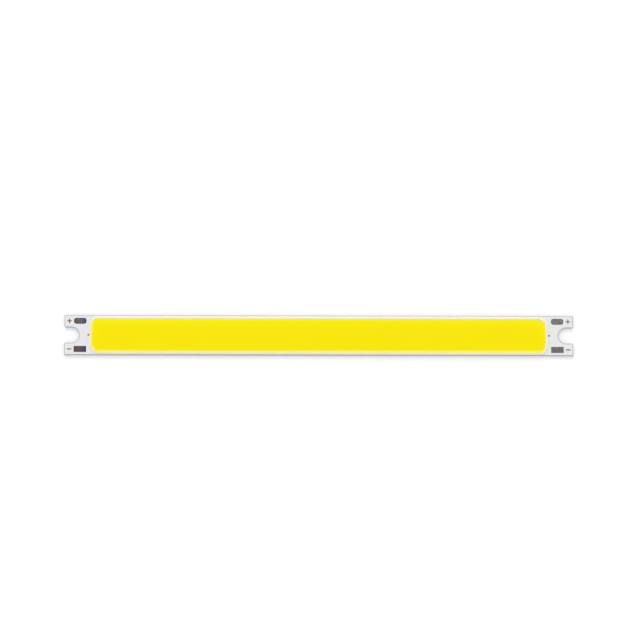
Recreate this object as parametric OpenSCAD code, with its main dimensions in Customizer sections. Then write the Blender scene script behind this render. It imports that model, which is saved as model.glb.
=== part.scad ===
// COB LED bar: blue chips wire-bonded onto an aluminium circuit board, under one strip of phosphor gel.
// Millimetres. X runs along the bar, +Y is the positive side, and the bare aluminium back lies on Z = 0.

/* [Board] */
// Length of the bar
board_l = 120; // [90:1:180]
// Width of the bar
board_w = 9.5; // [9.2:0.1:12]
// Thickness of the aluminium plate
plate_t = 0.86; // [0.8:0.02:2]
// Thickness of the insulation between plate and copper
insulation_t = 0.075; // [0.05:0.005:0.15]
// Thickness of the copper foil
copper_t = 0.035; // [0.02:0.005:0.07]
// Thickness of the solder mask where it covers copper, and of the tin that fills its openings
mask_cover_t = 0.03; // [0.02:0.005:0.05]
// Distance from the board's outline back to the solder mask
mask_setback = 0.18; // [0.1:0.02:0.19]
// Depth of the scored groove in each face along the long edges
score_depth = 0.3; // [0.1:0.02:0.35]
// Full angle of the scored groove
score_angle = 30; // [10:5:30]

/* [Screw notches] */
// Radius of the round inner end of each notch
notch_r = 1.85; // [1.6:0.05:2.2]
// Distance from the board's end to the centre of the notch's round end
notch_inset = 1.65; // [1:0.05:2]
// Radius of the two corners at the notch's mouth
mouth_r = 0.25; // [0.2:0.05:0.5]

/* [Solder pads and marks] */
// Length of a solder pad, along the bar
pad_l = 2.95; // [2:0.05:3.4]
// Width of a solder pad
pad_w = 1.45; // [1.3:0.05:1.6]
// Corner radius of the positive pads
pad_corner_r = 0.6; // [0.2:0.05:0.6]
// Distance from the board's end to the pads' outer edge
pad_inset = 2.25; // [2:0.05:2.6]
// Distance from the board's long edge to the middle of a pad
pad_edge = 1.4; // [1.3:0.05:1.5]
// How far the copper under a pad reaches out under the mask on each side
land_margin = 0.1; // [0.05:0.01:0.15]
// Height and width of the plus marks, and length of the minus marks
mark_size = 1.05; // [0.8:0.05:1.2]
// Width of the strokes of the marks
mark_stroke = 0.27; // [0.2:0.01:0.4]
// Distance from the board's end to the middle of a mark
mark_inset = 1.2; // [1:0.05:1.3]
// Diameter of the locating dots
dot_d = 0.4; // [0.3:0.05:0.6]
// Distance from the dam's foot to the middle of a locating dot
dot_offset = 0.22; // [0.2:0.02:0.5]

/* [Dam and gel] */
// Width of the dam's foot
dam_w = 1; // [0.9:0.02:1.1]
// Height of the dam above the solder mask
dam_h = 0.55; // [0.5:0.02:0.7]
// Distance from the board's long edge to the dam
dam_edge_gap = 0.2; // [0.2:0.01:0.3]
// Distance from the board's end to the dam
dam_end_gap = 5.9; // [5.8:0.1:8]
// Corner radius of the dam, along its crest
dam_corner_r = 1.7; // [1.2:0.1:2.5]
// Depth of the gel's edge below the dam's crest, along the long sides
gel_edge_drop = 0.1; // [0.08:0.01:0.2]
// Depth of the gel's middle below the dam's crest
gel_middle_drop = 0.01; // [0.005:0.005:0.05]
// How far the mask runs in under the dam, past the dam's inner foot
mask_window_lap = 0.2; // [0.1:0.02:0.3]

/* [Chips and wires] */
// Length of a chip, across the bar
chip_l = 0.72; // [0.5:0.02:0.8]
// Width of a chip
chip_w = 0.36; // [0.2:0.02:0.8]
// Thickness of a chip
chip_t = 0.15; // [0.1:0.01:0.2]
// Distance between the middles of neighbouring chips in a string
chip_pitch = 1.45; // [1.35:0.01:1.5]
// Distance between strings, along the bar
string_pitch = 4; // [3:0.1:6]
// Free length between the dam and the first string
string_margin = 2.5; // [1:0.1:4]
// Thickness of the glue under a chip
glue_t = 0.03; // [0.02:0.005:0.04]
// How far the glue stands out round a chip
glue_margin = 0.04; // [0.02:0.01:0.06]
// How far the silver-plated plane stands out past the outer chips
plane_margin = 0.16; // [0.1:0.02:0.2]
// Gap between the silver-plated plane and the tracks
track_gap = 0.25; // [0.15:0.05:0.3]
// Thickness of a bond wire
wire_t = 0.03; // [0.02:0.005:0.04]
// Height of a bond wire's loop above its first bond
loop_h = 0.18; // [0.12:0.01:0.2]
// Distance from a chip's end to the middle of its electrode
electrode_inset = 0.12; // [0.08:0.01:0.16]
// Length of the flat end of a wire that is pressed onto the next bond
stitch_l = 0.08; // [0.06:0.01:0.1]

/* [Hidden] */
$fn = 96;

// Four blue chips of about 3 V in series make a 12 V string, and five wires join them to the tracks
chips_in_series = 4;
wires_in_series = chips_in_series + 1;

// Heights of the layers
board_top = plate_t + insulation_t;
copper_top = board_top + copper_t;
mask_top = copper_top + mask_cover_t;
dam_top = mask_top + dam_h;
chip_bottom = copper_top + glue_t;
chip_top = chip_bottom + chip_t;
score_slope = tan(score_angle / 2);

// Places of the pads and marks
pad_x = board_l / 2 - pad_inset - pad_l / 2;
pad_y = board_w / 2 - pad_edge;
mark_x = board_l / 2 - mark_inset;

// The dam is a bead of round section, and its crest runs round a rectangle with round corners
dam_r = (dam_w * dam_w / 4 + dam_h * dam_h) / (2 * dam_h);
crest_l = board_l - 2 * dam_end_gap - dam_w;
crest_w = board_w - 2 * dam_edge_gap - dam_w;
floor_l = crest_l - dam_w;
floor_w = crest_w - dam_w;
dot_x = crest_l / 2 + dam_w / 2 + dot_offset;

// The gel's top is part of a wide cylinder that meets the dam just inside its crest
gel_edge_y = crest_w / 2 - sqrt(2 * dam_r * gel_edge_drop - gel_edge_drop * gel_edge_drop);
gel_crown = gel_edge_drop - gel_middle_drop;
gel_r = (gel_edge_y * gel_edge_y + gel_crown * gel_crown) / (2 * gel_crown);

// The window in the mask ends under the dam, and the plane runs under the mask at its ends
window_l = floor_l + 2 * mask_window_lap;
window_w = floor_w + 2 * mask_window_lap;
window_r = dam_corner_r - dam_w / 2 + mask_window_lap;
plane_l = window_l + 2 * mask_window_lap;
plane_w = (chips_in_series - 1) * chip_pitch + chip_l + 2 * plane_margin;
track_in = plane_w / 2 + track_gap;
track_out = pad_y + pad_w / 2 + land_margin;

// As many strings as the gel's floor takes, spread about the middle
string_count = floor((floor_l - 2 * string_margin) / string_pitch) + 1;
string_x = [for (i = [0 : string_count - 1]) (i - (string_count - 1) / 2) * string_pitch];
chip_y = [for (i = [0 : chips_in_series - 1]) ((chips_in_series - 1) / 2 - i) * chip_pitch];
electrode_y = chip_l / 2 - electrode_inset;

// The wires' stitches lie in the middle of the strip of track that is bare inside the dam
stitch_end_y = (track_in + floor_w / 2 + stitch_l) / 2;

// ---- Outlines ----

module rounded_rectangle(l, w, r) {
    square([l - 2 * r, w], center = true);
    square([l, w - 2 * r], center = true);
    for (x = [-1, 1], y = [-1, 1])
        translate([x * (l / 2 - r), y * (w / 2 - r)]) circle(r);
}

// One notch at the +X end of an outline that lies an inset inside the board's
module notch(inset) {
    end_x = board_l / 2 - inset;
    wall_y = notch_r + inset;
    corner_r = mouth_r - inset;
    translate([board_l / 2 - notch_inset, 0]) circle(wall_y);
    translate([board_l / 2 - notch_inset, -wall_y]) square([2 * notch_inset, 2 * wall_y]);
    for (side = [0, 1]) mirror([0, side]) difference() {
        translate([end_x - corner_r, wall_y]) square([2 * notch_inset, corner_r]);
        translate([end_x - corner_r, wall_y + corner_r]) circle(corner_r);
    }
}

module notches(inset = 0) {
    notch(inset);
    mirror([1, 0]) notch(inset);
}

module positive_pad_outlines(margin = 0) {
    for (x = [-pad_x, pad_x])
        translate([x, pad_y])
            rounded_rectangle(pad_l + 2 * margin, pad_w + 2 * margin, pad_corner_r + margin);
}

module negative_pad_outlines(margin = 0) {
    for (x = [-pad_x, pad_x])
        translate([x, -pad_y]) square([pad_l + 2 * margin, pad_w + 2 * margin], center = true);
}

module plus_outlines() {
    for (x = [-mark_x, mark_x]) translate([x, pad_y]) {
        square([mark_size, mark_stroke], center = true);
        square([mark_stroke, mark_size], center = true);
    }
}

module minus_outlines() {
    for (x = [-mark_x, mark_x])
        translate([x, -pad_y]) square([mark_size, mark_stroke], center = true);
}

module dot_outlines() {
    for (x = [-dot_x, dot_x]) translate([x, 0]) circle(d = dot_d);
}

// The rail of a track, which runs from the middle of one pad to the middle of the other
module rail_outline(side) {
    translate([0, side * (track_in + track_out) / 2])
        square([2 * pad_x, track_out - track_in], center = true);
}

module positive_track_outline() {
    positive_pad_outlines(land_margin);
    rail_outline(1);
}

module negative_track_outline() {
    negative_pad_outlines(land_margin);
    rail_outline(-1);
}

module plane_outline() {
    square([plane_l, plane_w], center = true);
}

module window_outline() {
    rounded_rectangle(window_l, window_w, window_r);
}

// The floor inside the dam's inner foot
module floor_outline() {
    rounded_rectangle(floor_l, floor_w, dam_corner_r - dam_w / 2);
}

// ---- Board ----

// Half the width of the board at a height, where the scored grooves take their bevel off both faces
function half_width(z) = board_w / 2 - score_slope * max(0, score_depth - z, z - (board_top - score_depth));

// One layer of the board from z0 to z1, with bevelled long edges and the notches cut through
module board_layer(z0, z1) {
    knees = [for (z = [score_depth, board_top - score_depth]) if (z > z0 && z < z1) z];
    heights = concat([z0], knees, [z1]);
    right = [for (z = heights) [half_width(z), z]];
    left = [for (i = [len(heights) - 1 : -1 : 0]) [-half_width(heights[i]), heights[i]]];
    difference() {
        rotate([90, 0, 90]) linear_extrude(board_l, center = true) polygon(concat(right, left));
        translate([0, 0, -board_top]) linear_extrude(3 * board_top) notches();
    }
}

module base_plate() {
    color("silver") board_layer(0, plate_t);
}

module insulation_layer() {
    color("gainsboro") board_layer(plate_t, board_top);
}

// ---- Copper, mask and tin ----

module positive_track() {
    color("peru") translate([0, 0, board_top]) linear_extrude(copper_t) positive_track_outline();
}

module negative_track() {
    color("peru") translate([0, 0, board_top]) linear_extrude(copper_t) negative_track_outline();
}

module chip_plane() {
    color("lightgray") translate([0, 0, board_top]) linear_extrude(copper_t) plane_outline();
}

// The space of the tracks and the plane, deepened so that it opens the underside of what lies over them
module copper_space() {
    translate([0, 0, board_top - copper_t]) linear_extrude(2 * copper_t) {
        positive_track_outline();
        negative_track_outline();
        plane_outline();
    }
}

module solder_mask() {
    color("whitesmoke") difference() {
        translate([0, 0, board_top]) linear_extrude(mask_top - board_top) difference() {
            square([board_l - 2 * mask_setback, board_w - 2 * mask_setback], center = true);
            notches(mask_setback);
            positive_pad_outlines();
            negative_pad_outlines();
            plus_outlines();
            minus_outlines();
            dot_outlines();
            window_outline();
        }
        copper_space();
    }
}

module positive_pads() {
    color("dimgray") translate([0, 0, copper_top]) linear_extrude(mask_cover_t) positive_pad_outlines();
}

module negative_pads() {
    color("dimgray") translate([0, 0, copper_top]) linear_extrude(mask_cover_t) negative_pad_outlines();
}

// The marks and dots are etched copper with their coat of tin, in openings of the same shape
module plus_marks() {
    color("darkkhaki") translate([0, 0, board_top]) linear_extrude(mask_top - board_top) plus_outlines();
}

module minus_marks() {
    color("darkkhaki") translate([0, 0, board_top]) linear_extrude(mask_top - board_top) minus_outlines();
}

module locating_dots() {
    color("dimgray") translate([0, 0, board_top]) linear_extrude(mask_top - board_top) dot_outlines();
}

// ---- Chips and wires ----

module die_glue_row(row) {
    color("lightcyan") for (x = string_x)
        translate([x - chip_w / 2 - glue_margin, chip_y[row - 1] - chip_l / 2 - glue_margin, copper_top])
            cube([chip_w + 2 * glue_margin, chip_l + 2 * glue_margin, glue_t]);
}

module led_chip_row(row) {
    color("steelblue") for (x = string_x)
        translate([x - chip_w / 2, chip_y[row - 1] - chip_l / 2, chip_bottom])
            cube([chip_w, chip_l, chip_t]);
}

function unit(v) = v / norm(v);
function left_of(a, b) = let (u = unit(b - a)) [-u.y, u.x];

// The point that lies d to the left of point i of a bent line, on the mitre between its two stretches
function beside(line, i, d) =
    let (
        before = max(i, 1),
        after = min(i, len(line) - 2),
        n = left_of(line[before - 1], line[before]),
        m = left_of(line[after], line[after + 1])
    )
    line[i] + d * (n + m) / (1 + n * m);

// A bent line given a thickness
function ribbon(line, t) = concat(
    [for (i = [0 : len(line) - 1]) beside(line, i, -t / 2)],
    [for (i = [len(line) - 1 : -1 : 0]) beside(line, i, t / 2)]
);

// A wire that rises from its first bond, bends, and slopes down to a flat stitch, over a reach to its end
function wire_line(reach, z0, z1) = [
    [0, z0],
    [0, z0 + loop_h - wire_t],
    [wire_t, z0 + loop_h],
    [reach - stitch_l, z1 + wire_t / 2],
    [reach, z1 + wire_t / 2]
];

// One row of like wires, one for each string, from y0 at height z0 to y1 at height z1
module wire_row(y0, z0, y1, z1) {
    reach = abs(y1 - y0);
    for (x = string_x)
        translate([x, y0, 0]) mirror([0, y1 < y0 ? 1 : 0, 0])
            rotate([90, 0, 90]) linear_extrude(wire_t, center = true)
                polygon(ribbon(wire_line(reach, z0, z1), wire_t));
}

// Row 1 joins the positive track to the first chips, the last row joins the last chips to the negative track
module bond_wire_row(row) {
    color("gold") {
        if (row == 1)
            wire_row(chip_y[0] + electrode_y, chip_top, stitch_end_y, copper_top);
        else if (row == wires_in_series)
            wire_row(chip_y[row - 2] - electrode_y, chip_top, -stitch_end_y, copper_top);
        else
            wire_row(chip_y[row - 2] - electrode_y, chip_top, chip_y[row - 1] + electrode_y, chip_top);
    }
}

// ---- Dam and gel ----

// The bead's section: a round top that meets the board at the dam's full width
module dam_section() {
    intersection() {
        translate([0, dam_h - dam_r]) circle(dam_r);
        translate([-dam_w, 0]) square([2 * dam_w, 2 * dam_h]);
    }
}

// The bead laid round the crest line: four straights and four quarter turns
module dam_bead() {
    straight_l = crest_l - 2 * dam_corner_r;
    straight_w = crest_w - 2 * dam_corner_r;
    translate([0, 0, mask_top]) {
        for (side = [-1, 1]) {
            translate([0, side * crest_w / 2, 0])
                rotate([90, 0, 90]) linear_extrude(straight_l, center = true) dam_section();
            translate([side * crest_l / 2, 0, 0])
                rotate([90, 0, 0]) linear_extrude(straight_w, center = true) dam_section();
        }
        for (turn = [0 : 3])
            translate([
                (turn == 0 || turn == 3 ? 1 : -1) * straight_l / 2,
                (turn < 2 ? 1 : -1) * straight_w / 2,
                0
            ])
                rotate([0, 0, 90 * turn]) rotate_extrude(angle = 90)
                    translate([dam_corner_r, 0]) dam_section();
    }
}

// The wet bead also fills the mask's window from the window's edge in to the bead's inner foot
module dam() {
    color("ivory") {
        dam_bead();
        difference() {
            translate([0, 0, board_top]) linear_extrude(mask_top - board_top) difference() {
                window_outline();
                floor_outline();
            }
            copper_space();
        }
    }
}

// The gel's outer form: it fills the floor between the copper, and above it the basin inside the dam's crest.
// The cylinder of its top is so wide that it takes a finer $fn.
module gel_fill() {
    translate([0, 0, board_top]) linear_extrude(mask_top - board_top) floor_outline();
    difference() {
        intersection() {
            translate([0, 0, mask_top]) linear_extrude(dam_h)
                rounded_rectangle(crest_l, crest_w, dam_corner_r);
            translate([0, 0, dam_top - gel_middle_drop - gel_r])
                rotate([0, 90, 0]) cylinder(h = board_l, r = gel_r, center = true, $fn = 256);
        }
        dam_bead();
    }
}

module phosphor_gel() {
    color("yellow") difference() {
        gel_fill();
        copper_space();
        for (row = [1 : chips_in_series]) {
            die_glue_row(row);
            led_chip_row(row);
        }
        for (row = [1 : wires_in_series]) bond_wire_row(row);
    }
}

base_plate();
insulation_layer();
positive_track();
negative_track();
chip_plane();
solder_mask();
positive_pads();
negative_pads();
plus_marks();
minus_marks();
locating_dots();
for (row = [1 : chips_in_series]) {
    die_glue_row(row);
    led_chip_row(row);
}
for (row = [1 : wires_in_series])
    bond_wire_row(row);
dam();
phosphor_gel();
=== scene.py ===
"""A COB LED bar: an aluminium circuit board with a strip of yellow phosphor gel in a white silicone dam."""

import math

import bmesh
import bpy
from mathutils import Matrix, Vector, kdtree, noise


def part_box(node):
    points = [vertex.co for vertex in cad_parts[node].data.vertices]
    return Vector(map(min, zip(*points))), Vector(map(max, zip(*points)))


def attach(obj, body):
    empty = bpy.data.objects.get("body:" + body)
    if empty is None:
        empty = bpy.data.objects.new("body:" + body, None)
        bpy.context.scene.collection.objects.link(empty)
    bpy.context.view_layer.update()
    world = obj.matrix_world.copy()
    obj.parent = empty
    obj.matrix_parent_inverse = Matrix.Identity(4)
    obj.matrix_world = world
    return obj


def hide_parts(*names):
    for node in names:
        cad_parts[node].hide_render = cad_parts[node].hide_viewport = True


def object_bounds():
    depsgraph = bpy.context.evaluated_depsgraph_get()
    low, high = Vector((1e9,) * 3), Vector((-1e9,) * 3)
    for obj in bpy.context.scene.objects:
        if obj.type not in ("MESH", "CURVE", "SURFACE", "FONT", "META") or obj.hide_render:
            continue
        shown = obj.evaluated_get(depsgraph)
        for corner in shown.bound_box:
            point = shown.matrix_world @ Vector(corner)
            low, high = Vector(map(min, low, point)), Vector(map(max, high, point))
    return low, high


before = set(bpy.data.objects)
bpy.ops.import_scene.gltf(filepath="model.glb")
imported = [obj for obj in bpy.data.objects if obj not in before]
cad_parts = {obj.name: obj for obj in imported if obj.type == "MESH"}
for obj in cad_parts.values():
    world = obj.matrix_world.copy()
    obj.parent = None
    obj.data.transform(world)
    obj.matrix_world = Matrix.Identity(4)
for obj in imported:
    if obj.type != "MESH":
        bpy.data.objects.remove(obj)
cad_low, cad_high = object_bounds()


# ---- Base plate ----
# The bar's body is a strip of bare aluminium sheet, brushed across the bar. Its long edges were scored from
# both faces and snapped out of a panel, and its notches were milled.

MM = 0.001
SCORE_DEPTH = 0.3 * MM
SIDE_SKIN = 0.1 * MM


def linear(hex_colour):
    """An sRGB colour such as "#C8C9CC" as the linear colour that a shader takes."""
    channels = [int(hex_colour[i:i + 2], 16) / 255 for i in (1, 3, 5)]
    return [c / 12.92 if c <= 0.04045 else ((c + 0.055) / 1.055) ** 2.4 for c in channels] + [1.0]


def add(tree, kind, inputs=None, **settings):
    """Adds one shader node. Each input takes a number, a colour, or the node or socket that feeds it."""
    node = tree.nodes.new("ShaderNode" + kind)
    for name, value in settings.items():
        setattr(node, name, value)
    for key, value in (inputs or {}).items():
        named = [s for s in node.inputs if s.name == key and s.enabled]
        socket = named[0] if named else node.inputs[key]
        if isinstance(value, bpy.types.Node):
            value = next(s for s in value.outputs if s.enabled)
        if isinstance(value, bpy.types.NodeSocket):
            tree.links.new(value, socket)
        else:
            socket.default_value = value
    return node


def new_material(name):
    """A material with an empty node tree."""
    material = bpy.data.materials.new(name)
    material.use_nodes = True
    material.node_tree.nodes.clear()
    return material


def dress(node_name, material):
    """Gives a CAD node its material."""
    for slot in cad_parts[node_name].material_slots:
        slot.material = material


def brushed_aluminium():
    # Brushed across the bar: the streaks stretch each highlight, and stray scratches and pits catch light.
    # The streaks are drawn coarser than the brush's own lines, so that they show
    material = new_material("brushed aluminium")
    tree = material.node_tree
    place = add(tree, "TexCoord").outputs["Object"]
    streak_space = add(tree, "Mapping", {
        "Vector": place,
        "Scale": (1 / (0.22 * MM), 1 / (6 * MM), 1 / (0.22 * MM)),
    })
    streak_noise = add(tree, "TexNoise", {
        "Vector": streak_space, "Scale": 1, "Detail": 4, "Roughness": 0.65,
    })
    streaks = add(tree, "MapRange", {"Value": streak_noise, "From Min": 0.3, "From Max": 0.7})
    cloud_noise = add(tree, "TexNoise", {"Vector": place, "Scale": 1 / (6 * MM), "Detail": 3})
    cloud = add(tree, "MapRange", {"Value": cloud_noise, "From Min": 0.35, "From Max": 0.65})
    pits = add(tree, "TexNoise", {"Vector": place, "Scale": 1 / (0.35 * MM), "Detail": 1})
    pit_mask = add(tree, "MapRange", {"Value": pits, "From Min": 0.71, "From Max": 0.77, "To Max": 0.8})
    scratch_space = add(tree, "Mapping", {
        "Vector": place,
        "Rotation": (0, 0, math.radians(14)),
        "Scale": (0.3 * MM, 1.7 * MM, 0.3 * MM),
    }, vector_type="TEXTURE")
    scratches = add(tree, "TexNoise", {"Vector": scratch_space, "Scale": 1, "Detail": 0})
    scratch_mask = add(tree, "MapRange", {
        "Value": scratches, "From Min": 0.79, "From Max": 0.86, "To Max": 0.8,
    })
    marks = add(tree, "Math", {0: pit_mask, 1: scratch_mask}, operation="MAXIMUM")

    # The web that snapped between the two scores is torn and rough
    parts = add(tree, "SeparateXYZ", {"Vector": place})
    side = add(tree, "Math", {0: parts.outputs["Y"]}, operation="ABSOLUTE")
    on_side = add(tree, "Math", {0: side, 1: cad_high.y - SIDE_SKIN}, operation="GREATER_THAN")
    above = add(tree, "Math", {0: parts.outputs["Z"], 1: SCORE_DEPTH}, operation="GREATER_THAN")
    board_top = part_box("insulation_layer")[1].z
    below = add(tree, "Math", {0: parts.outputs["Z"], 1: board_top - SCORE_DEPTH}, operation="LESS_THAN")
    between = add(tree, "Math", {0: above, 1: below}, operation="MULTIPLY")
    torn = add(tree, "Math", {0: between, 1: on_side}, operation="MULTIPLY")
    tear = add(tree, "TexNoise", {
        "Vector": place, "Scale": 1 / (0.12 * MM), "Detail": 5, "Roughness": 0.7,
    })

    cool_tone = add(tree, "Mix", {
        "Factor": streaks, "A": linear("#888B92"), "B": linear("#AAAEB2"),
    }, data_type="RGBA")
    violet_tone = add(tree, "Mix", {
        "Factor": streaks, "A": linear("#8C8A98"), "B": linear("#B3B1BF"),
    }, data_type="RGBA")
    clouded = add(tree, "Mix", {"Factor": cloud, "A": cool_tone, "B": violet_tone}, data_type="RGBA")
    marked = add(tree, "Mix", {
        "Factor": marks, "A": clouded, "B": linear("#E9EAED"),
    }, data_type="RGBA")
    torn_tone = add(tree, "Mix", {
        "Factor": tear, "A": linear("#6E6F73"), "B": linear("#B4B5B9"),
    }, data_type="RGBA")
    colour = add(tree, "Mix", {"Factor": torn, "A": marked, "B": torn_tone}, data_type="RGBA")
    sheen = add(tree, "MapRange", {"Value": streaks, "To Min": 0.28, "To Max": 0.52})
    roughness = add(tree, "Mix", {"Factor": torn, "A": sheen, "B": 0.62})
    relief = add(tree, "Mix", {"Factor": torn, "A": streaks, "B": tear})
    depth = add(tree, "MapRange", {"Value": torn, "To Min": 0.004 * MM, "To Max": 0.04 * MM})
    bump = add(tree, "Bump", {"Height": relief, "Distance": depth, "Strength": 1})
    metal = add(tree, "BsdfPrincipled", {
        "Base Color": colour, "Metallic": 1, "Roughness": roughness, "Normal": bump,
    })
    add(tree, "OutputMaterial", {"Surface": metal})
    return material


dress("base_plate", brushed_aluminium())


# ---- Insulation ----
# A layer of epoxy filled with ceramic powder is bonded to the plate and carries the copper. It shows as a
# thin grey rim round the board and the notches, where the lacquer stops short of the edge.


def filled_epoxy():
    # The ceramic powder makes it a dull grey-white with a fine speckle, drawn coarser than its grains
    material = new_material("ceramic-filled epoxy")
    tree = material.node_tree
    place = add(tree, "TexCoord").outputs["Object"]
    powder = add(tree, "TexNoise", {"Vector": place, "Scale": 1 / (0.08 * MM), "Detail": 3})
    patches = add(tree, "TexNoise", {"Vector": place, "Scale": 1 / (3 * MM), "Detail": 2})
    speckle = add(tree, "Mix", {
        "Factor": powder, "A": linear("#ABADB0"), "B": linear("#C9CBCD"),
    }, data_type="RGBA")
    colour = add(tree, "Mix", {
        "Factor": patches, "A": speckle, "B": linear("#B9BBBF"),
    }, data_type="RGBA")
    bump = add(tree, "Bump", {"Height": powder, "Distance": 0.006 * MM, "Strength": 1})
    plastic = add(tree, "BsdfPrincipled", {
        "Base Color": colour, "Roughness": 0.62, "IOR": 1.55, "Normal": bump,
    })
    add(tree, "OutputMaterial", {"Surface": plastic})
    return material


dress("insulation_layer", filled_epoxy())


# ---- Copper tracks and chip plane ----
# The two tracks are etched copper foil under the lacquer. The plane that the chips sit on is the same foil,
# plated with silver so that it throws the chips' light up.


def etched_copper():
    # Etched, roughened foil is a dull salmon red with darker oxide clouds and a grain drawn coarse to show
    material = new_material("etched copper foil")
    tree = material.node_tree
    place = add(tree, "TexCoord").outputs["Object"]
    grain = add(tree, "TexNoise", {"Vector": place, "Scale": 1 / (0.06 * MM), "Detail": 3})
    oxide = add(tree, "TexNoise", {"Vector": place, "Scale": 1 / (2.5 * MM), "Detail": 3})
    colour = add(tree, "Mix", {
        "Factor": oxide, "A": linear("#C98560"), "B": linear("#9E5F42"),
    }, data_type="RGBA")
    roughness = add(tree, "MapRange", {"Value": grain, "To Min": 0.3, "To Max": 0.5})
    bump = add(tree, "Bump", {"Height": grain, "Distance": 0.002 * MM, "Strength": 1})
    metal = add(tree, "BsdfPrincipled", {
        "Base Color": colour, "Metallic": 1, "Roughness": roughness, "Normal": bump,
    })
    add(tree, "OutputMaterial", {"Surface": metal})
    return material


def silver_plate():
    # Bright plating mirrors its surroundings, with a faint warm tarnish in patches
    material = new_material("silver plate")
    tree = material.node_tree
    place = add(tree, "TexCoord").outputs["Object"]
    tarnish = add(tree, "TexNoise", {"Vector": place, "Scale": 1 / (4 * MM), "Detail": 3})
    foil = add(tree, "TexNoise", {"Vector": place, "Scale": 1 / (0.15 * MM), "Detail": 2})
    colour = add(tree, "Mix", {
        "Factor": tarnish, "A": linear("#ECEBE6"), "B": linear("#DFD9C6"),
    }, data_type="RGBA")
    roughness = add(tree, "MapRange", {"Value": tarnish, "To Min": 0.1, "To Max": 0.24})
    bump = add(tree, "Bump", {"Height": foil, "Distance": 0.001 * MM, "Strength": 1})
    metal = add(tree, "BsdfPrincipled", {
        "Base Color": colour, "Metallic": 1, "Roughness": roughness, "Normal": bump,
    })
    add(tree, "OutputMaterial", {"Surface": metal})
    return material


copper = etched_copper()
dress("positive_track", copper)
dress("negative_track", copper)
dress("chip_plane", silver_plate())


# ---- Solder mask ----
# A coat of white lacquer is printed over the board and cured. It lies over the foil's edge in a low soft
# step round each pad, and it is the white that the eye takes for the board.

LAND_MARGIN = 0.1 * MM
STEP_WIDTH = 0.09 * MM
STEP_HEIGHT = 0.02 * MM


def end_box(node_name, side):
    """The lowest and highest corners of the part of a CAD node that lies at the +X (1) or -X (-1) end."""
    points = [v.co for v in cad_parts[node_name].data.vertices if v.co.x * side > 0]
    low = Vector([min(p[i] for p in points) for i in range(3)])
    high = Vector([max(p[i] for p in points) for i in range(3)])
    return low, high


def white_lacquer():
    # Semi-gloss and a little cool, with the soft ripple of a cured print and a faint unevenness of tone
    material = new_material("white solder lacquer")
    tree = material.node_tree
    place = add(tree, "TexCoord").outputs["Object"]
    clouds = add(tree, "TexNoise", {"Vector": place, "Scale": 1 / (7 * MM), "Detail": 3})
    dust = add(tree, "TexNoise", {"Vector": place, "Scale": 1 / (0.3 * MM), "Detail": 2})
    dust_mask = add(tree, "MapRange", {"Value": dust, "From Min": 0.72, "From Max": 0.8, "To Max": 0.35})
    ripple = add(tree, "TexNoise", {"Vector": place, "Scale": 1 / (0.7 * MM), "Detail": 2})

    # The height of the step: 1 over a pad's copper land and 0 on the bare insulation beside it
    low, high = end_box("positive_pads", 1)
    middle = (low + high) / 2
    half = (high - low) / 2 + Vector((LAND_MARGIN, LAND_MARGIN, 0))
    folded = add(tree, "VectorMath", {0: place}, operation="ABSOLUTE")
    shifted = add(tree, "VectorMath", {0: folded, 1: (middle.x, middle.y, 0)}, operation="SUBTRACT")
    spread = add(tree, "VectorMath", {0: shifted}, operation="ABSOLUTE")
    outside = add(tree, "VectorMath", {0: spread, 1: (half.x, half.y, 1)}, operation="SUBTRACT")
    past = add(tree, "SeparateXYZ", {"Vector": outside})
    nearest = add(tree, "Math", {0: past.outputs["X"], 1: past.outputs["Y"]}, operation="MAXIMUM")
    step = add(tree, "MapRange", {
        "Value": nearest, "From Min": 0, "From Max": STEP_WIDTH, "To Min": 1, "To Max": 0,
    }, interpolation_type="SMOOTHSTEP")

    tone = add(tree, "Mix", {
        "Factor": clouds, "A": linear("#E5E5E7"), "B": linear("#E9E9EA"),
    }, data_type="RGBA")
    colour = add(tree, "Mix", {
        "Factor": dust_mask, "A": tone, "B": linear("#CFCDC8"),
    }, data_type="RGBA")
    roughness = add(tree, "MapRange", {"Value": clouds, "To Min": 0.3, "To Max": 0.44})
    waves = add(tree, "Bump", {"Height": ripple, "Distance": 0.004 * MM, "Strength": 1})
    bump = add(tree, "Bump", {"Height": step, "Distance": STEP_HEIGHT, "Strength": 1, "Normal": waves})
    lacquer = add(tree, "BsdfPrincipled", {
        "Base Color": colour, "Roughness": roughness, "IOR": 1.5, "Normal": bump,
    })
    add(tree, "OutputMaterial", {"Surface": lacquer})
    return material


dress("solder_mask", white_lacquer())


# ---- Solder pads ----
# Each pad is a copper land dipped in molten tin and blown level, so the tin stands in a low dome inside the
# lacquer's opening. The positive pads have round corners and the negative pads have square ones.

PAD_DOME = 0.03 * MM
PAD_ROUND_CORNER = 0.6 * MM
PAD_SQUARE_CORNER = 0.06 * MM
TIN_SWELL = 0.25
TIN_LUMP = 0.9 * MM
ARC_STEPS = 6
PAD_STEPS = (6, 14)
MERGE_DISTANCE = 0.0002 * MM


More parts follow.
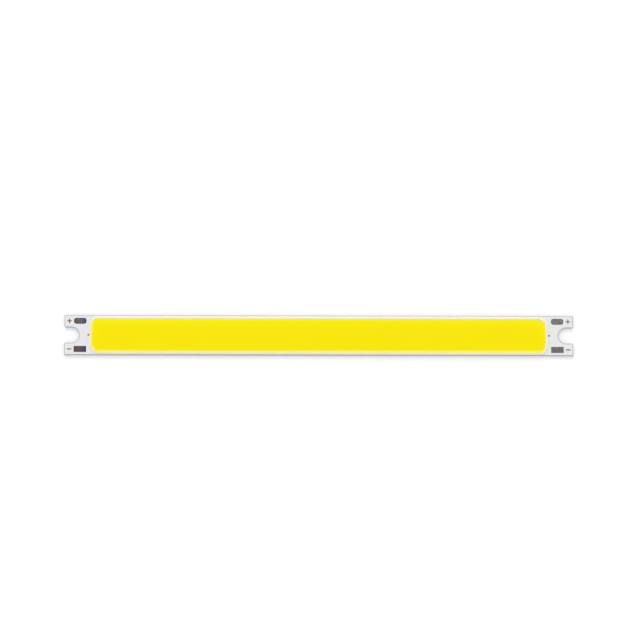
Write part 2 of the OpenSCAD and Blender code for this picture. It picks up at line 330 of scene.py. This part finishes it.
def outline(half_l, half_w, radii, steps):
    """A loop round a rectangle, anticlockwise, in four sides that run from one corner's middle to the next.

    Each point comes with its outward direction. Radii start at the +X -Y corner. The steps are those of the
    straight stretches of the ends and of the long sides.
    """
    signs = [(1, -1), (1, 1), (-1, 1), (-1, -1)]
    centres = [Vector((sx * (half_l - r), sy * (half_w - r), 0)) for (sx, sy), r in zip(signs, radii)]
    sides = []
    for k in range(4):
        square_on = math.radians(90 * k)
        outward = Vector((math.cos(square_on), math.sin(square_on), 0))
        side = []
        for i in range(ARC_STEPS):
            angle = square_on - math.radians(45) * (1 - i / ARC_STEPS)
            away = Vector((math.cos(angle), math.sin(angle), 0))
            side.append((centres[k] + radii[k] * away, away))
        following = (k + 1) % 4
        start = centres[k] + radii[k] * outward
        end = centres[following] + radii[following] * outward
        count = steps[k % 2]
        for i in range(count):
            side.append((start.lerp(end, i / count), outward))
        for i in range(ARC_STEPS):
            angle = square_on + math.radians(45) * i / ARC_STEPS
            away = Vector((math.cos(angle), math.sin(angle), 0))
            side.append((centres[following] + radii[following] * away, away))
        sides.append(side)
    return sides


def spread_rows(loop, ends, longs):
    """Rows of points that fill a loop whose four sides have ends, longs, ends and longs steps."""
    right = [loop[i] for i in range(ends + 1)]
    top = [loop[ends + longs - i] for i in range(longs + 1)]
    left = [loop[2 * ends + longs - i] for i in range(ends + 1)]
    bottom = [loop[(2 * ends + longs + i) % len(loop)] for i in range(longs + 1)]
    rows = []
    for j in range(ends + 1):
        v = j / ends
        row = []
        for i in range(longs + 1):
            u = i / longs
            across = bottom[i].lerp(top[i], v)
            along = left[j].lerp(right[j], u)
            corners = bottom[0].lerp(bottom[-1], u).lerp(top[0].lerp(top[-1], u), v)
            row.append(across + along - corners)
        rows.append(row)
    return rows


def add_rows(mesh, rows, closed=False):
    """Faces between rows of points."""
    made = [[mesh.verts.new(p) for p in row] for row in rows]
    for a, b in zip(made, made[1:]):
        if closed:
            a = a + a[:1]
            b = b + b[:1]
        for i in range(len(a) - 1):
            mesh.faces.new((a[i], a[i + 1], b[i + 1], b[i]))
    return made


def finish_mesh(name, mesh, material, sharp_angle=40):
    """A closed, smooth-shaded object from faces whose shared points are still double."""
    bmesh.ops.remove_doubles(mesh, verts=mesh.verts, dist=MERGE_DISTANCE)
    bmesh.ops.recalc_face_normals(mesh, faces=mesh.faces)
    for face in mesh.faces:
        face.smooth = True
    for edge in mesh.edges:
        if edge.is_manifold and edge.calc_face_angle() > math.radians(sharp_angle):
            edge.smooth = False
    data = bpy.data.meshes.new(name)
    mesh.to_mesh(data)
    mesh.free()
    data.materials.append(material)
    made = bpy.data.objects.new(name, data)
    bpy.context.scene.collection.objects.link(made)
    return made


def levelled_tin(name, dark, light, oxide):
    # Tin mirrors what is round it, dulled by cooling ripples and darker where flux stayed round its rim. At
    # the -X end a thin film of oxide tints the pads
    material = new_material(name)
    tree = material.node_tree
    place = add(tree, "TexCoord").outputs["Object"]
    ripple_space = add(tree, "Mapping", {
        "Vector": place,
        "Scale": (1 / (0.35 * MM), 1 / (0.9 * MM), 1 / (0.35 * MM)),
    })
    ripples = add(tree, "TexNoise", {"Vector": ripple_space, "Scale": 1, "Detail": 3, "Roughness": 0.6})
    crystals = add(tree, "TexNoise", {"Vector": place, "Scale": 1 / (0.12 * MM), "Detail": 2})
    # The tones are set dark: a painted reflection of darker surroundings than the white sky here
    tone = add(tree, "Mix", {
        "Factor": ripples, "A": linear(dark), "B": linear(light),
    }, data_type="RGBA")
    rim = add(tree, "Attribute", attribute_name="rim").outputs["Fac"]
    flux = add(tree, "MapRange", {"Value": rim, "From Min": 0.55, "From Max": 1, "To Max": 0.55})
    rimmed = add(tree, "Mix", {"Factor": flux, "A": tone, "B": linear("#3E3C39")}, data_type="RGBA")
    grained = add(tree, "Mix", {
        "Factor": crystals, "A": rimmed, "B": tone,
    }, data_type="RGBA")

    # The film is straw at a pad's outer edge and blue at its inner edge. The share given lies on its middle
    low, high = end_box("positive_pads", -1)
    along = add(tree, "SeparateXYZ", {"Vector": place})
    local = add(tree, "MapRange", {"Value": along.outputs["X"], "From Min": low.x, "From Max": high.x})
    film = add(tree, "Mix", {
        "Factor": local, "A": linear("#5E4934"), "B": linear("#393764"),
    }, data_type="RGBA")
    from_middle = add(tree, "Math", {0: local, 1: 0.5}, operation="SUBTRACT")
    edge_share = add(tree, "Math", {0: from_middle}, operation="ABSOLUTE")
    at_edges = add(tree, "MapRange", {
        "Value": edge_share, "From Min": 0.1, "From Max": 0.5, "To Min": oxide, "To Max": 0.9,
    })
    on_pad = add(tree, "Math", {0: along.outputs["X"], 1: high.x + LAND_MARGIN}, operation="LESS_THAN")
    filmed = add(tree, "Math", {0: at_edges, 1: on_pad}, operation="MULTIPLY")
    colour = add(tree, "Mix", {"Factor": filmed, "A": grained, "B": film}, data_type="RGBA")

    roughness = add(tree, "MapRange", {"Value": ripples, "To Min": 0.2, "To Max": 0.42})
    bump = add(tree, "Bump", {"Height": ripples, "Distance": 0.008 * MM, "Strength": 1})
    metal = add(tree, "BsdfPrincipled", {
        "Base Color": colour, "Metallic": 1, "Roughness": roughness, "Normal": bump,
    })
    add(tree, "OutputMaterial", {"Surface": metal})
    return material


def solder_pads(node_name, corner_r, material):
    """The two pads of one polarity, each a low dome of tin in its opening."""
    mesh = bmesh.new()
    rim_layer = mesh.verts.layers.float.new("rim")
    for side in (-1, 1):
        low, high = end_box(node_name, side)
        middle = (low + high) / 2
        half = (high - low) / 2
        sides = outline(half.x, half.y, [corner_r] * 4, PAD_STEPS)
        loop = [point for part in sides for point, away in part]
        foot = [Vector((middle.x + p.x, middle.y + p.y, low.z)) for p in loop]
        rim = [Vector((p.x, p.y, high.z)) for p in foot]
        ends = len(sides[0])
        longs = len(sides[1])

        # The dome is level over most of the pad, falls off near its rim, and swells a little here and there
        top = spread_rows(rim, ends, longs)
        for j, row in enumerate(top):
            v = 2 * j / ends - 1
            for i, point in enumerate(row):
                u = 2 * i / longs - 1
                swell = 1 + TIN_SWELL * noise.noise(point / TIN_LUMP)
                point.z += PAD_DOME * swell * (1 - u ** 6) * (1 - v ** 4)

        # The rim value is 1 at a pad's edge and 0 in its middle
        for j, row in enumerate(add_rows(mesh, top)):
            for i, vert in enumerate(row):
                vert[rim_layer] = max(abs(2 * i / longs - 1) ** 2, abs(2 * j / ends - 1))
        add_rows(mesh, [rim, foot], closed=True)
        add_rows(mesh, spread_rows(foot, ends, longs))
    made = finish_mesh(node_name + "_tin", mesh, material)
    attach(made, "root")
    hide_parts(node_name)


tin = levelled_tin("levelled tin", "#5E5E5B", "#8B8B85", 0.5)
solder_pads("positive_pads", PAD_ROUND_CORNER, tin)
fluxed_tin = levelled_tin("levelled tin with flux", "#50504D", "#82827C", 0.7)
solder_pads("negative_pads", PAD_SQUARE_CORNER, fluxed_tin)


# ---- Plus and minus marks ----
# The marks are openings in the lacquer over small copper figures, with a dull coat of tin that lets the
# copper's warmth through.


def thin_tin_on_copper(name, warm_tones, cool_tones):
    # Duller and browner than the pads, uneven where the tin is thin, and warmest at the -X end
    material = new_material(name)
    tree = material.node_tree
    place = add(tree, "TexCoord").outputs["Object"]
    thin = add(tree, "TexNoise", {"Vector": place, "Scale": 1 / (0.4 * MM), "Detail": 3})
    along = add(tree, "SeparateXYZ", {"Vector": place})
    end = add(tree, "MapRange", {
        "Value": along.outputs["X"], "From Min": cad_low.x, "From Max": cad_high.x,
    })
    warm = add(tree, "Mix", {
        "Factor": thin, "A": linear(warm_tones[0]), "B": linear(warm_tones[1]),
    }, data_type="RGBA")
    cool = add(tree, "Mix", {
        "Factor": thin, "A": linear(cool_tones[0]), "B": linear(cool_tones[1]),
    }, data_type="RGBA")
    colour = add(tree, "Mix", {"Factor": end, "A": warm, "B": cool}, data_type="RGBA")
    bump = add(tree, "Bump", {"Height": thin, "Distance": 0.004 * MM, "Strength": 1})
    metal = add(tree, "BsdfPrincipled", {
        "Base Color": colour, "Metallic": 1, "Roughness": 0.45, "Normal": bump,
    })
    add(tree, "OutputMaterial", {"Surface": metal})
    return material


plus_tin = thin_tin_on_copper("thin tin on copper", ["#6F5226", "#957546"], ["#66654E", "#8B8A70"])
minus_tin = thin_tin_on_copper(
    "thin tin with flux on copper", ["#5C4416", "#7E6430"], ["#4A4936", "#6C6B52"],
)
dress("plus_marks", plus_tin)
dress("minus_marks", minus_tin)


# ---- Locating dots ----
# A round dot at each end shows the dispensing machine where the dam begins. It is copper, etched with the
# tracks and left open by the lacquer, under a low dome of dull tin.

DOT_DOME = 0.02 * MM
DOT_RINGS = 4
DOT_STEPS = 40
DOT_CENTRE = 0.02


def locating_dots():
    """Both dots, each a small round dome."""
    mesh = bmesh.new()
    for side in (-1, 1):
        low, high = end_box("locating_dots", side)
        middle = (low + high) / 2
        radius = (high.x - low.x) / 2
        turns = [math.tau * i / DOT_STEPS for i in range(DOT_STEPS)]
        rings = [(DOT_CENTRE, low.z), (1, low.z)]
        for k in range(DOT_RINGS, -1, -1):
            share = max(k / DOT_RINGS, DOT_CENTRE)
            rings.append((share, high.z + DOT_DOME * (1 - share * share)))
        rows = []
        for share, z in rings:
            reach = share * radius
            row = [(middle.x + reach * math.cos(a), middle.y + reach * math.sin(a), z) for a in turns]
            rows.append(row)
        made = add_rows(mesh, rows, closed=True)
        mesh.faces.new(made[0])
        mesh.faces.new(made[-1])
    dull_tin = levelled_tin("dull levelled tin", "#3B3A35", "#5C5A52", 0)
    made = finish_mesh("locating_dots_tin", mesh, dull_tin)
    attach(made, "root")
    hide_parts("locating_dots")


locating_dots()


# ---- Chips, their glue and the bond wires ----
# Each blue chip is sapphire with a thin light-giving layer, stuck down with a dab of clear silicone. Gold
# wires, welded with heat and ultrasound, join the chips in strings of four. The gel hides them all.


def clear_silicone():
    # Water-clear, with a faint haze
    material = new_material("clear silicone")
    tree = material.node_tree
    place = add(tree, "TexCoord").outputs["Object"]
    haze = add(tree, "TexNoise", {"Vector": place, "Scale": 1 / (0.2 * MM), "Detail": 2})
    colour = add(tree, "Mix", {
        "Factor": haze, "A": linear("#F4F7F8"), "B": linear("#E2EAEC"),
    }, data_type="RGBA")
    roughness = add(tree, "MapRange", {"Value": haze, "To Min": 0.04, "To Max": 0.16})
    glue = add(tree, "BsdfPrincipled", {
        "Base Color": colour, "Roughness": roughness, "IOR": 1.41, "Transmission Weight": 0.9,
    })
    add(tree, "OutputMaterial", {"Surface": glue})
    return material


def sapphire_chip():
    # Polished and blue-violet, with the sparkle of the patterned sapphire below the thin layers. The
    # pattern is drawn coarser than it is
    material = new_material("sapphire led chip")
    tree = material.node_tree
    place = add(tree, "TexCoord").outputs["Object"]
    cells = add(tree, "TexVoronoi", {"Vector": place, "Scale": 1 / (0.02 * MM)})
    wafer = add(tree, "TexNoise", {"Vector": place, "Scale": 1 / (6 * MM), "Detail": 2})
    tint = add(tree, "Mix", {
        "Factor": wafer, "A": linear("#5C7FB8"), "B": linear("#6C7CC6"),
    }, data_type="RGBA")
    colour = add(tree, "Mix", {
        "Factor": cells.outputs["Distance"], "A": tint, "B": linear("#9DB4DA"),
    }, data_type="RGBA")
    chip = add(tree, "BsdfPrincipled", {"Base Color": colour, "Roughness": 0.08, "IOR": 1.77})
    add(tree, "OutputMaterial", {"Surface": chip})
    return material


def gold_wire():
    # Drawn gold is bright and smooth, with faint lines along the wire from the die
    material = new_material("drawn gold wire")
    tree = material.node_tree
    place = add(tree, "TexCoord").outputs["Object"]
    line_space = add(tree, "Mapping", {
        "Vector": place,
        "Scale": (1 / (0.008 * MM), 1 / (0.6 * MM), 1 / (0.008 * MM)),
    })
    lines = add(tree, "TexNoise", {"Vector": line_space, "Scale": 1, "Detail": 1})
    colour = add(tree, "Mix", {
        "Factor": lines, "A": linear("#E9B64C"), "B": linear("#F6CF74"),
    }, data_type="RGBA")
    roughness = add(tree, "MapRange", {"Value": lines, "To Min": 0.14, "To Max": 0.28})
    metal = add(tree, "BsdfPrincipled", {"Base Color": colour, "Metallic": 1, "Roughness": roughness})
    add(tree, "OutputMaterial", {"Surface": metal})
    return material


# Each name here is the start of a node's name, which the number of a row follows
hidden_finishes = {
    "die_glue_row_": clear_silicone(),
    "led_chip_row_": sapphire_chip(),
    "bond_wire_row_": gold_wire(),
}
for node_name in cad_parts:
    for start, finish in hidden_finishes.items():
        if node_name.startswith(start):
            dress(node_name, finish)


# ---- Dam ----
# A needle lays one bead of thick white silicone round the light area before the gel is poured, and the bead
# is cured where it stands. It wavers a little, swells where its end meets its start, and a short thread
# pulled off by the needle lies over the corner of the gel.

DAM_WIDTH = 1.0 * MM
DAM_CORNERS = [1.45 * MM, 1.75 * MM, 1.5 * MM, 2.05 * MM]
DAM_STEPS = (18, 480)
DAM_WAVER = 0.02 * MM
WAVER_LENGTH = 5 * MM
WAVER_SLICE = Vector((0, 0, 7))
BEAD_SWELL = 0.02
SWELL_LENGTH = 6 * MM
BEAD_FACES = 20
SEAM_PLACE = 0.9 * MM
SEAM_LENGTH = 0.65 * MM
SEAM_PUSH = 0.14 * MM
THREAD_START = (52.5 * MM, 3.72 * MM)
THREAD_END = (51.1 * MM, 2.5 * MM)
THREAD_RADIUS = 0.1 * MM
THREAD_BEND = 0.08 * MM
THREAD_TAPER = 0.3
THREAD_TIP = 0.01
THREAD_STEPS = 16
THREAD_SIDES = 12
# The painted glow of the gel's yellow light reaches further out over the dam on its -X and -Y sides
PAINTED_GLOW_SPILL = Vector((-0.5, -0.5, 0))

mask_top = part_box("solder_mask")[1].z
copper_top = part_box("chip_plane")[1].z
dam_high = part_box("dam")[1]
gel_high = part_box("phosphor_gel")[1]
crest_l = dam_high.x - DAM_WIDTH / 2
crest_w = dam_high.y - DAM_WIDTH / 2


def white_silicone():
    # Satin and a little translucent. The gel's yellow light glowing through it is painted into its colour
    material = new_material("white dam silicone")
    tree = material.node_tree
    place = add(tree, "TexCoord").outputs["Object"]
    across = add(tree, "Attribute", attribute_name="across").outputs["Fac"]
    # Painted glow: yellow at the gel, fading outwards, and bright enough to lift the inner slope's shade
    painted_glow = add(tree, "MapRange", {
        "Value": across, "From Min": -0.75, "From Max": 0.15, "To Min": 1, "To Max": 0,
    }, interpolation_type="SMOOTHSTEP")
    uneven = add(tree, "TexNoise", {"Vector": place, "Scale": 1 / (2.2 * MM), "Detail": 3})
    # The body's cream yellow near the crest, fading outwards, is part of the same painted glow
    painted_glow_fade = add(tree, "MapRange", {"Value": across, "From Min": -0.2, "From Max": 1})
    body = add(tree, "Mix", {
        "Factor": painted_glow_fade, "A": linear("#F8F1CA"), "B": linear("#F6F3E8"),
    }, data_type="RGBA")
    patch = add(tree, "MapRange", {"Value": uneven, "To Max": 0.6})
    toned = add(tree, "Mix", {
        "Factor": patch, "A": body, "B": linear("#F3EDD8"),
    }, data_type="RGBA")
    colour = add(tree, "Mix", {"Factor": painted_glow, "A": toned, "B": linear("#FCF262")}, data_type="RGBA")
    skin = add(tree, "TexNoise", {"Vector": place, "Scale": 1 / (0.5 * MM), "Detail": 2})
    roughness = add(tree, "MapRange", {"Value": uneven, "To Min": 0.3, "To Max": 0.46})
    bump = add(tree, "Bump", {"Height": skin, "Distance": 0.006 * MM, "Strength": 1})
    silicone = add(tree, "BsdfPrincipled", {
        "Base Color": colour, "Roughness": roughness, "IOR": 1.41, "Normal": bump,
        "Subsurface Weight": 0.6, "Subsurface Radius": (1.0, 0.9, 0.6), "Subsurface Scale": 0.15 * MM,
    })
    add(tree, "OutputMaterial", {"Surface": silicone})
    return material


def seam_push(point):
    """How far the bead's lapped ends push in over the light area at a point of its crest."""
    away = (point - Vector((crest_l - SEAM_PLACE, crest_w, 0))).length / SEAM_LENGTH
    return SEAM_PUSH * math.exp(-away * away)


def bead_circle(point):
    """The radius of the bead's round section at a point of its crest, and the height of its centre."""
    swell = 1 + BEAD_SWELL * noise.noise(point / SWELL_LENGTH)
    half = DAM_WIDTH / 2 * swell + seam_push(point)
    height = (dam_high.z - mask_top) * min(swell, 1)
    radius = (half * half + height * height) / (2 * height)
    return radius, mask_top + height - radius


def dam_path():
    """The crest line of the bead, as the hand of the machine left it."""
    sides = outline(crest_l, crest_w, DAM_CORNERS, DAM_STEPS)
    path = []
    for side in sides:
        for point, away in side:
            waver = DAM_WAVER * (1 - noise.noise(point / WAVER_LENGTH + WAVER_SLICE))
            path.append((point - away * (waver + seam_push(point)), away))
    return path, len(sides[0]), len(sides[1])


def dam_rows(path):
    """The bead's skin: one closed row for each point of its section, from its outer to its inner foot."""
    rows = []
    for j in range(BEAD_FACES + 1):
        row = []
        for point, away in path:
            radius, middle_z = bead_circle(point)
            lean = math.asin((middle_z - mask_top) / radius)
            angle = -lean + (math.pi + 2 * lean) * j / BEAD_FACES
            spot = point + away * radius * math.cos(angle)
            row.append(Vector((spot.x, spot.y, middle_z + radius * math.sin(angle))))
        rows.append(row)
    inner_foot = rows[-1]
    rows.append([Vector((p.x, p.y, copper_top)) for p in inner_foot])
    return rows


def thread_rows():
    """The thread that the needle pulled off: a tapering strand that sinks into the gel at its far end."""
    start = Vector((*THREAD_START, dam_high.z - THREAD_RADIUS))
    end = Vector((*THREAD_END, gel_high.z - THREAD_RADIUS))
    along = (end - start).normalized()
    across = along.cross(Vector((0, 0, 1))).normalized()
    rise = across.cross(along)
    rows = []
    for i in range(THREAD_STEPS + 1):
        t = i / THREAD_STEPS
        fullness = max(1 - (2 * t - 1) ** 4, THREAD_TIP)
        radius = THREAD_RADIUS * math.sqrt(fullness) * (1 - THREAD_TAPER * t)
        bend = across * THREAD_BEND * math.sin(math.pi * t)
        centre = start.lerp(end, t) + bend
        ring = []
        for k in range(THREAD_SIDES):
            angle = math.tau * k / THREAD_SIDES
            ring.append(centre + radius * (across * math.cos(angle) + rise * math.sin(angle)))
        rows.append(ring)
    return rows


path, end_steps, long_steps = dam_path()
dam_mesh = bmesh.new()
across_layer = dam_mesh.verts.layers.float.new("across")
made_rows = add_rows(dam_mesh, dam_rows(path), closed=True)

# The across value is 1 at the outer foot, 0 on the crest and -1 at the inner foot, less where painted glow
# spills
for j, row in enumerate(made_rows):
    share = math.cos(math.pi * min(j / BEAD_FACES, 1))
    for vert, (point, away) in zip(row, path):
        vert[across_layer] = share - max(away.dot(PAINTED_GLOW_SPILL), 0)
outer_foot = [v.co.copy() for v in made_rows[0]]
inner_foot = [v.co.copy() for v in made_rows[-1]]
add_rows(dam_mesh, [outer_foot, inner_foot], closed=True)
thread = add_rows(dam_mesh, thread_rows(), closed=True)
# The thread takes the full yellow of the painted glow, standing also for the gel that coats it
for row in thread:
    for vert in row:
        vert[across_layer] = -1
dam_mesh.faces.new(thread[0])
dam_mesh.faces.new(thread[-1])
dam = finish_mesh("dam_bead", dam_mesh, white_silicone(), sharp_angle=60)
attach(dam, "root")
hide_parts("dam")


# ---- Phosphor gel ----
# Silicone mixed with yellow phosphor powder is poured inside the dam and cured. It covers the chips and
# wires, stands in a very low crown, and thins out over the dam's inner slope, where white shows through.

THIN_EDGE = 0.28 * MM
SHALLOW_EDGE = 2.4 * MM
GEL_WAVE = 0.004 * MM
GEL_WAVE_LENGTH = 6 * MM
LEVEL_REACH = 1 * MM
WALL_STEPS = 4
CONTACT_STEPS = 3
BELOW_CREST = 0.9995
edge_inset = crest_w - gel_high.y
middle_radius = (DAM_WIDTH ** 2 / 4 + (dam_high.z - mask_top) ** 2) / (2 * (dam_high.z - mask_top))
edge_z = dam_high.z - middle_radius + math.sqrt(middle_radius ** 2 - edge_inset ** 2)
crown_radius = gel_high.y ** 2 / (2 * (gel_high.z - edge_z))


def phosphor_silicone():
    # Dense powder makes it opaque and a strong lemon yellow, with a satin skin and faint clouds where it
    # settled. The powder's grain is drawn coarser than it is, so that it shows
    material = new_material("phosphor silicone")
    tree = material.node_tree
    place = add(tree, "TexCoord").outputs["Object"]
    inward = add(tree, "Attribute", attribute_name="inward").outputs["Fac"]
    thin = add(tree, "MapRange", {
        "Value": inward, "From Min": 0, "From Max": THIN_EDGE, "To Min": 1, "To Max": 0,
    }, interpolation_type="SMOOTHSTEP")
    shallow = add(tree, "MapRange", {
        "Value": inward, "From Min": THIN_EDGE, "From Max": SHALLOW_EDGE, "To Min": 1, "To Max": 0,
    }, interpolation_type="SMOOTHSTEP")
    # Painted light: a paler lemon near the edge, only towards the +Y side, as if lit from there
    width = add(tree, "SeparateXYZ", {"Vector": place}).outputs["Y"]
    painted_lit_side = add(tree, "MapRange", {
        "Value": width, "From Min": -gel_high.y, "From Max": gel_high.y / 2, "To Min": 0, "To Max": 1,
    }, interpolation_type="SMOOTHSTEP")
    lean = add(tree, "Math", {0: shallow, 1: painted_lit_side}, operation="MULTIPLY")
    clouds = add(tree, "TexNoise", {"Vector": place, "Scale": 1 / (5 * MM), "Detail": 3})
    powder = add(tree, "TexNoise", {"Vector": place, "Scale": 1 / (0.18 * MM), "Detail": 2})
    settled = add(tree, "Mix", {
        "Factor": clouds, "A": linear("#FBEC01"), "B": linear("#F8E301"),
    }, data_type="RGBA")
    grained = add(tree, "Mix", {
        "Factor": powder, "A": settled, "B": linear("#F9E501"),
    }, data_type="RGBA")
    painted_lit_lemon = add(tree, "Mix", {"Factor": lean, "A": grained, "B": linear("#F9EC04")}, data_type="RGBA")
    colour = add(tree, "Mix", {"Factor": thin, "A": painted_lit_lemon, "B": linear("#F5EB68")}, data_type="RGBA")
    roughness = add(tree, "MapRange", {"Value": clouds, "To Min": 0.34, "To Max": 0.5})
    bump = add(tree, "Bump", {"Height": powder, "Distance": 0.004 * MM, "Strength": 1})
    silicone = add(tree, "BsdfPrincipled", {
        "Base Color": colour, "Roughness": roughness, "IOR": 1.41, "Specular IOR Level": 0.1,
        "Normal": bump,
    })
    add(tree, "OutputMaterial", {"Surface": silicone})
    return material


def crown_z(y):
    """The height of the gel's top at a distance from the middle line."""
    return gel_high.z - y * y / (2 * crown_radius)


# The gel's edge lies where its crown meets the bead's round section, which a few steps find
contact = []
walls = [[] for step in range(WALL_STEPS)]
for point, away in path:
    radius, middle_z = bead_circle(point)
    y = point.y - away.y * edge_inset
    for step in range(CONTACT_STEPS):
        rise = min((crown_z(y) - middle_z) / radius, BELOW_CREST)
        angle = math.asin(rise)
        y = point.y - away.y * radius * math.cos(angle)
    inner = point - away * radius * math.cos(angle)
    contact.append(Vector((inner.x, inner.y, middle_z + radius * rise)))
    lean = math.asin((middle_z - mask_top) / radius)
    for step, wall in enumerate(walls):
        turned = angle + (-lean - angle) * (step + 1) / WALL_STEPS
        spot = point - away * radius * math.cos(turned)
        wall.append(Vector((spot.x, spot.y, middle_z + radius * math.sin(turned))))
gel_foot = [Vector((p.x, p.y, copper_top)) for p in walls[-1]]

near_edge = kdtree.KDTree(len(contact))
for i, point in enumerate(contact):
    near_edge.insert(point, i)
near_edge.balance()

gel_mesh = bmesh.new()
inward_layer = gel_mesh.verts.layers.float.new("inward")
gel_rows = spread_rows(contact, end_steps, long_steps)
gel_verts = add_rows(gel_mesh, gel_rows)
for j, row in enumerate(gel_verts):
    for i, vert in enumerate(row):
        distance = near_edge.find(vert.co)[2]
        vert[inward_layer] = distance

        # The top follows the crown and its faint waves, and settles down to the edge over the last stretch
        if 0 < j < len(gel_verts) - 1 and 0 < i < len(row) - 1:
            fade = min(distance / LEVEL_REACH, 1)
            wave = GEL_WAVE * noise.noise(vert.co / GEL_WAVE_LENGTH)
            vert.co.z += fade * (crown_z(vert.co.y) - vert.co.z + wave - GEL_WAVE)
add_rows(gel_mesh, [contact, *walls, gel_foot], closed=True)
add_rows(gel_mesh, spread_rows(gel_foot, end_steps, long_steps))
gel = finish_mesh("phosphor_gel_fill", gel_mesh, phosphor_silicone(), sharp_angle=60)
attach(gel, "root")
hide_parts("phosphor_gel")


# ---- Floor, light and camera ----
# The bar lies on a white floor under a pale sky, with a weak soft sun on its positive side. It is seen
# almost from above, a little from its negative side, with its length across the picture.

FLOOR_SIZE = 2.0
FLOOR_GAP = 0.02 * MM
PAPER_LIFT = 0.26
SKY_LEVEL = 0.85
SUN_LEVEL = 0.15
SUN_HEIGHT = math.radians(50)
SUN_TURN = math.radians(12)
SUN_SPREAD = math.radians(28)
CAMERA_HEIGHT = math.radians(82)
CAMERA_ROLL = math.radians(0.12)
CAMERA_DISTANCE = 600 * MM
FIELD_WIDTH = 150.94 * MM
BAR_LEFT_OF_MIDDLE = 0.31 * MM
BAR_BELOW_MIDDLE = 3.62 * MM


def white_floor():
    # White paper to the eye. Only the camera sees it, from above: the light that it would throw up comes
    # from the sky round it
    material = new_material("white floor")
    tree = material.node_tree
    paper = add(tree, "BsdfDiffuse", {"Color": linear("#E7E7E7")})
    lift = add(tree, "Emission", {"Color": (1, 1, 1, 1), "Strength": PAPER_LIFT})
    lit = add(tree, "AddShader", {0: paper, 1: lift})
    clear = add(tree, "BsdfTransparent")
    seen = add(tree, "LightPath").outputs["Is Camera Ray"]
    behind = add(tree, "NewGeometry").outputs["Backfacing"]
    front = add(tree, "Math", {0: 1, 1: behind}, operation="SUBTRACT")
    shown = add(tree, "Math", {0: seen, 1: front}, operation="MULTIPLY")
    surface = add(tree, "MixShader", {0: shown, 1: clear, 2: lit})
    add(tree, "OutputMaterial", {"Surface": surface})
    return material


floor_mesh = bpy.data.meshes.new("floor")
reach = FLOOR_SIZE / 2
corners = [(-reach, -reach), (reach, -reach), (reach, reach), (-reach, reach)]
floor_mesh.from_pydata([(x, y, cad_low.z - FLOOR_GAP) for x, y in corners], [], [(0, 1, 2, 3)])
floor_mesh.materials.append(white_floor())
floor = bpy.data.objects.new("floor", floor_mesh)
bpy.context.scene.collection.objects.link(floor)

world = bpy.data.worlds.new("daylight")
world.use_nodes = True
world.node_tree.nodes.clear()
bpy.context.scene.world = world
sky_tree = world.node_tree
ray = add(sky_tree, "LightPath")
mirrored = add(sky_tree, "Math", {
    0: ray.outputs["Is Glossy Ray"], 1: ray.outputs["Is Transmission Ray"],
}, operation="MAXIMUM")
white_seen = add(sky_tree, "Math", {0: ray.outputs["Is Camera Ray"], 1: mirrored}, operation="MAXIMUM")
level = add(sky_tree, "MapRange", {"Value": white_seen, "To Min": SKY_LEVEL, "To Max": 1})
sky = add(sky_tree, "Background", {"Color": (1, 1, 1, 1), "Strength": level})
add(sky_tree, "OutputWorld", {"Surface": sky})

sun_light = bpy.data.lights.new("sun", "SUN")
sun_light.energy = SUN_LEVEL * math.pi / math.sin(SUN_HEIGHT)
sun_light.angle = SUN_SPREAD
sun = bpy.data.objects.new("sun", sun_light)
bpy.context.scene.collection.objects.link(sun)
to_sun = Vector((
    -math.sin(SUN_TURN) * math.cos(SUN_HEIGHT),
    math.cos(SUN_TURN) * math.cos(SUN_HEIGHT),
    math.sin(SUN_HEIGHT),
))
sun.rotation_euler = to_sun.to_track_quat("Z", "Y").to_euler()

lens = bpy.data.cameras.new("camera")
lens.sensor_width = 36
lens.lens = lens.sensor_width * CAMERA_DISTANCE / FIELD_WIDTH
lens.clip_start = 10 * MM
camera = bpy.data.objects.new("camera", lens)
bpy.context.scene.collection.objects.link(camera)
to_camera = Vector((0, -math.cos(CAMERA_HEIGHT), math.sin(CAMERA_HEIGHT)))
level_up = Vector((0, math.sin(CAMERA_HEIGHT), math.cos(CAMERA_HEIGHT)))
level_right = Vector((1, 0, 0))
picture_up = level_up * math.cos(CAMERA_ROLL) - level_right * math.sin(CAMERA_ROLL)
picture_right = level_right * math.cos(CAMERA_ROLL) + level_up * math.sin(CAMERA_ROLL)
aim = Vector((0, 0, mask_top)) + picture_right * BAR_LEFT_OF_MIDDLE + picture_up * BAR_BELOW_MIDDLE
camera.location = aim + to_camera * CAMERA_DISTANCE
camera.rotation_euler = Matrix((picture_right, picture_up, to_camera)).transposed().to_euler()
bpy.context.scene.camera = camera

bpy.context.scene.view_settings.view_transform = "Standard"
